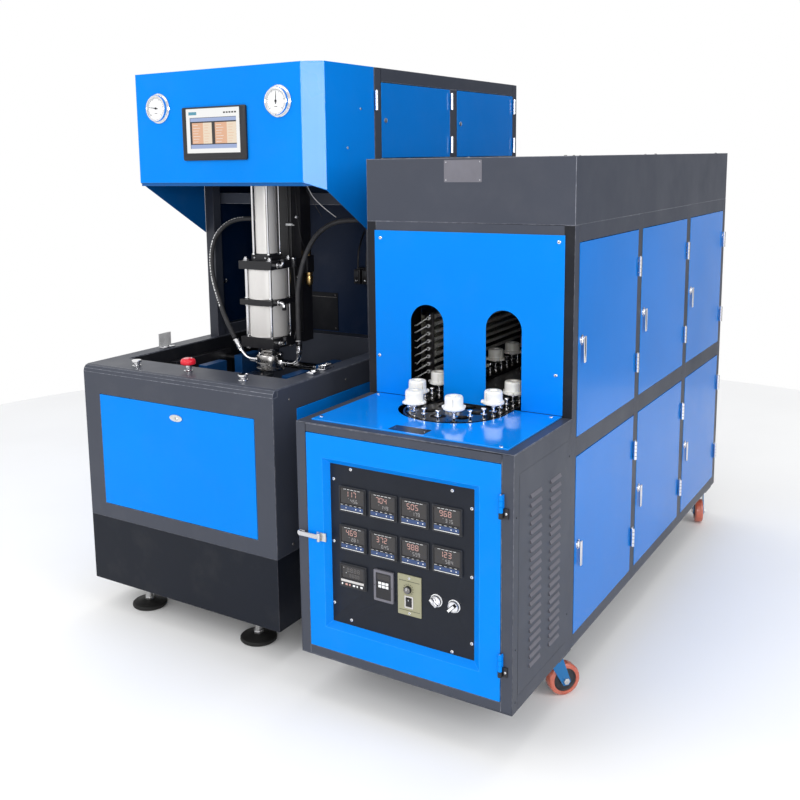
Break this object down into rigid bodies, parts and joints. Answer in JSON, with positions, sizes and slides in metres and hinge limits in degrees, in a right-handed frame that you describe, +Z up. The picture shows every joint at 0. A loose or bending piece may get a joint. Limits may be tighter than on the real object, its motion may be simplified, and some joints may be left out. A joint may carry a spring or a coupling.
{
  "type": "blow moulding machine",
  "caption": "Stretch-blow station with an overhanging control hood, beside a wheeled rotary infrared preform heater with side doors and a hinged control panel.",
  "frame": {"origin": "on the floor under the middle of the machine's bounding box", "axes": "+Z up, -Y towards the operator, +X towards the preform heater"},
  "size_m": [1.6104, 2.056, 1.79],
  "materials": {
    "blue_paint": "gloss powder coat",
    "grey_paint": "satin powder coat",
    "dark_paint": "satin powder coat",
    "black_oxide": "satin black",
    "bright_steel": "satin",
    "chrome_trim": "polished",
    "cylinder_alloy": "anodised",
    "mould_alloy": "machined",
    "hose_rubber": "braided cover",
    "foot_rubber": "matt",
    "black_plastic": "fine texture",
    "red_plastic": "gloss",
    "cup_plastic": "satin",
    "lamp_quartz": "translucent white",
    "wheel_urethane": "gloss",
    "fork_zinc": "gloss"
  },
  "bodies": {
    "root": {"blower_plinth": "dark_paint", "blower_front_frame": "grey_paint", "blower_frame": "grey_paint", "blower_panels": "blue_paint", "levelling_feet": "foot_rubber", "tower_frame": "grey_paint", "cylinder_mount": "black_oxide", "cylinder_barrels": "cylinder_alloy", "cylinder_tie_rods": "chrome_trim", "hose_left": "hose_rubber", "hose_right": "hose_rubber", "clamp_unit": "black_oxide", "pneumatics": "black_oxide", "heater_frame": "grey_paint", "heater_table": "blue_paint", "arch_cover": "blue_paint", "heater_hood": "grey_paint", "preform_chain": "bright_steel", "preform_cups": "cup_plastic", "lamp_bank": "lamp_quartz", "hinges_and_catches": "chrome_trim"},
    "hood": {"hood_shell": "blue_paint", "hood_instruments": "black_plastic"},
    "front_panel": {"blower_front_panel": "blue_paint"},
    "start_button_left": {"start_button_left": "chrome_trim"},
    "start_button_right": {"start_button_right": "chrome_trim"},
    "estop_button": {"estop_button": "red_plastic"},
    "seal_head": {"seal_head": "bright_steel"},
    "stretch_rod": {"stretch_rod": "bright_steel"},
    "mould_left": {"mould_half_left": "mould_alloy"},
    "mould_right": {"mould_half_right": "mould_alloy"},
    "tower_door_front": {"tower_door_front": "blue_paint"},
    "tower_door_rear": {"tower_door_rear": "blue_paint"},
    "control_door": {"control_door": "blue_paint", "instrument_panel": "black_plastic"},
    "door_latch": {"door_latch": "chrome_trim"},
    "speed_knob": {"speed_knob": "black_plastic"},
    "rocker_switch": {"rocker_switch": "black_plastic"},
    "selector_left": {"selector_left": "chrome_trim"},
    "selector_right": {"selector_right": "chrome_trim"},
    "side_door_lower_front": {"side_door_lower_front": "blue_paint"},
    "side_latch_lower_front": {"side_latch_lower_front": "chrome_trim"},
    "side_door_lower_middle": {"side_door_lower_middle": "blue_paint"},
    "side_latch_lower_middle": {"side_latch_lower_middle": "chrome_trim"},
    "side_door_lower_rear": {"side_door_lower_rear": "blue_paint"},
    "side_latch_lower_rear": {"side_latch_lower_rear": "chrome_trim"},
    "side_door_upper_front": {"side_door_upper_front": "blue_paint"},
    "side_latch_upper_front": {"side_latch_upper_front": "chrome_trim"},
    "side_door_upper_middle": {"side_door_upper_middle": "blue_paint"},
    "side_latch_upper_middle": {"side_latch_upper_middle": "chrome_trim"},
    "side_door_upper_rear": {"side_door_upper_rear": "blue_paint"},
    "side_latch_upper_rear": {"side_latch_upper_rear": "chrome_trim"},
    "caster_fork_front_right": {"caster_fork_front_right": "fork_zinc"},
    "caster_wheel_front_right": {"caster_wheel_front_right": "wheel_urethane"},
    "caster_fork_rear_right": {"caster_fork_rear_right": "fork_zinc"},
    "caster_wheel_rear_right": {"caster_wheel_rear_right": "wheel_urethane"},
    "caster_fork_front_left": {"caster_fork_front_left": "fork_zinc"},
    "caster_wheel_front_left": {"caster_wheel_front_left": "wheel_urethane"},
    "caster_fork_rear_left": {"caster_fork_rear_left": "fork_zinc"},
    "caster_wheel_rear_left": {"caster_wheel_rear_left": "wheel_urethane"}
  },
  "joints": [
    {"name": "hood_swing", "type": "hinge", "parent": "root", "child": "hood", "pos_m": [-0.02616, -0.304, 1.5], "axis": [0, 0, 1], "range_deg": [0, 30]},
    {"name": "front_panel_drop", "type": "hinge", "parent": "root", "child": "front_panel", "pos_m": [-0.41016, -0.912, 0.38], "axis": [1, 0, 0], "range_deg": [0, 100]},
    {"name": "start_left_press", "type": "slide", "parent": "root", "child": "start_button_left", "axis": [0, 0, -1], "range_m": [0, 0.004], "stiffness_N_per_m": 600, "springref_m": -0.01},
    {"name": "start_right_press", "type": "slide", "parent": "root", "child": "start_button_right", "axis": [0, 0, -1], "range_m": [0, 0.004], "stiffness_N_per_m": 600, "springref_m": -0.01},
    {"name": "estop_press", "type": "slide", "parent": "root", "child": "estop_button", "axis": [0, 0, -1], "range_m": [0, 0.006], "stiffness_N_per_m": 900, "springref_m": -0.012},
    {"name": "seal_head_slide", "type": "slide", "parent": "root", "child": "seal_head", "axis": [0, 0, -1], "range_m": [0, 0.04], "deforming": ["hose_left", "hose_right"]},
    {"name": "stretch_rod_slide", "type": "slide", "parent": "root", "child": "stretch_rod", "axis": [0, 0, -1], "range_m": [0, 0.25]},
    {"name": "mould_left_slide", "type": "slide", "parent": "root", "child": "mould_left", "axis": [1, 0, 0], "range_m": [0, 0.0745]},
    {"name": "mould_right_slide", "type": "slide", "parent": "root", "child": "mould_right", "axis": [-1, 0, 0], "range_m": [0, 0.0745]},
    {"name": "tower_door_front_swing", "type": "hinge", "parent": "root", "child": "tower_door_front", "pos_m": [-0.02616, 0.224, 1.621], "axis": [0, 0, 1], "range_deg": [0, 110]},
    {"name": "tower_door_rear_swing", "type": "hinge", "parent": "root", "child": "tower_door_rear", "pos_m": [-0.02616, 0.784, 1.621], "axis": [0, 0, 1], "range_deg": [0, 110]},
    {"name": "control_door_swing", "type": "hinge", "parent": "root", "child": "control_door", "pos_m": [0.75284, -1.02, 0.47], "axis": [0, 0, 1], "range_deg": [0, 120]},
    {"name": "door_latch_lift", "type": "hinge", "parent": "control_door", "child": "door_latch", "pos_m": [0.21684, -1.023, 0.486], "axis": [0, 0, 1], "range_deg": [0, 95]},
    {"name": "speed_knob_turn", "type": "hinge", "parent": "control_door", "child": "speed_knob", "pos_m": [0.48284, -1.007, 0.389], "axis": [0, -1, 0], "range_deg": [-150, 150]},
    {"name": "rocker_tip", "type": "hinge", "parent": "control_door", "child": "rocker_switch", "pos_m": [0.48434, -0.995, 0.3541], "axis": [1, 0, 0], "range_deg": [-10, 10]},
    {"name": "selector_left_turn", "type": "hinge", "parent": "control_door", "child": "selector_left", "pos_m": [0.56384, -1.007, 0.377], "axis": [0, -1, 0], "range_deg": [-90, 0]},
    {"name": "selector_right_turn", "type": "hinge", "parent": "control_door", "child": "selector_right", "pos_m": [0.61484, -1.007, 0.374], "axis": [0, -1, 0], "range_deg": [0, 90]},
    {"name": "side_door_lower_front_swing", "type": "hinge", "parent": "root", "child": "side_door_lower_front", "pos_m": [0.79084, -0.1, 0.4275], "axis": [0, 0, 1], "range_deg": [0, 110]},
    {"name": "side_latch_lower_front_turn", "type": "hinge", "parent": "side_door_lower_front", "child": "side_latch_lower_front", "pos_m": [0.78784, -0.577, 0.4275], "axis": [1, 0, 0], "range_deg": [0, 90]},
    {"name": "side_door_lower_middle_swing", "type": "hinge", "parent": "root", "child": "side_door_lower_middle", "pos_m": [0.79084, 0.456, 0.4275], "axis": [0, 0, 1], "range_deg": [0, 110]},
    {"name": "side_latch_lower_middle_turn", "type": "hinge", "parent": "side_door_lower_middle", "child": "side_latch_lower_middle", "pos_m": [0.78784, -0.031, 0.4275], "axis": [1, 0, 0], "range_deg": [0, 90]},
    {"name": "side_door_lower_rear_swing", "type": "hinge", "parent": "root", "child": "side_door_lower_rear", "pos_m": [0.79084, 0.989, 0.4275], "axis": [0, 0, 1], "range_deg": [0, 110]},
    {"name": "side_latch_lower_rear_turn", "type": "hinge", "parent": "side_door_lower_rear", "child": "side_latch_lower_rear", "pos_m": [0.78784, 0.53, 0.4275], "axis": [1, 0, 0], "range_deg": [0, 90]},
    {"name": "side_door_upper_front_swing", "type": "hinge", "parent": "root", "child": "side_door_upper_front", "pos_m": [0.79084, -0.1, 1.0055], "axis": [0, 0, 1], "range_deg": [0, 110]},
    {"name": "side_latch_upper_front_turn", "type": "hinge", "parent": "side_door_upper_front", "child": "side_latch_upper_front", "pos_m": [0.78784, -0.577, 1.0055], "axis": [1, 0, 0], "range_deg": [0, 90]},
    {"name": "side_door_upper_middle_swing", "type": "hinge", "parent": "root", "child": "side_door_upper_middle", "pos_m": [0.79084, 0.456, 1.0055], "axis": [0, 0, 1], "range_deg": [0, 110]},
    {"name": "side_latch_upper_middle_turn", "type": "hinge", "parent": "side_door_upper_middle", "child": "side_latch_upper_middle", "pos_m": [0.78784, -0.031, 1.0055], "axis": [1, 0, 0], "range_deg": [0, 90]},
    {"name": "side_door_upper_rear_swing", "type": "hinge", "parent": "root", "child": "side_door_upper_rear", "pos_m": [0.79084, 0.989, 1.0055], "axis": [0, 0, 1], "range_deg": [0, 110]},
    {"name": "side_latch_upper_rear_turn", "type": "hinge", "parent": "side_door_upper_rear", "child": "side_latch_upper_rear", "pos_m": [0.78784, 0.53, 1.0055], "axis": [1, 0, 0], "range_deg": [0, 90]},
    {"name": "caster_swivel_front_right", "type": "hinge", "parent": "root", "child": "caster_fork_front_right", "pos_m": [0.74084, -0.657, 0.119], "axis": [0, 0, 1], "continuous": true},
    {"name": "caster_roll_front_right", "type": "hinge", "parent": "caster_fork_front_right", "child": "caster_wheel_front_right", "pos_m": [0.76527, -0.62789, 0.047], "axis": [0.766, -0.6428, 0], "continuous": true},
    {"name": "caster_swivel_rear_right", "type": "hinge", "parent": "root", "child": "caster_fork_rear_right", "pos_m": [0.74084, 0.938, 0.119], "axis": [0, 0, 1], "continuous": true},
    {"name": "caster_roll_rear_right", "type": "hinge", "parent": "caster_fork_rear_right", "child": "caster_wheel_rear_right", "pos_m": [0.75384, 0.90229, 0.047], "axis": [-0.9397, -0.342, 0], "continuous": true},
    {"name": "caster_swivel_front_left", "type": "hinge", "parent": "root", "child": "caster_fork_front_left", "pos_m": [0.18484, -0.657, 0.119], "axis": [0, 0, 1], "continuous": true},
    {"name": "caster_roll_front_left", "type": "hinge", "parent": "caster_fork_front_left", "child": "caster_wheel_front_left", "pos_m": [0.19274, -0.61983, 0.047], "axis": [0.9781, -0.2079, 0], "continuous": true},
    {"name": "caster_swivel_rear_left", "type": "hinge", "parent": "root", "child": "caster_fork_rear_left", "pos_m": [0.18484, 0.938, 0.119], "axis": [0, 0, 1], "continuous": true},
    {"name": "caster_roll_rear_left", "type": "hinge", "parent": "caster_fork_rear_left", "child": "caster_wheel_rear_left", "pos_m": [0.17184, 0.97371, 0.047], "axis": [0.9397, 0.342, 0], "continuous": true}
  ],
  "couplings": [
    {"joint": "mould_right_slide", "follows": "mould_left_slide", "ratio": 1}
  ]
}
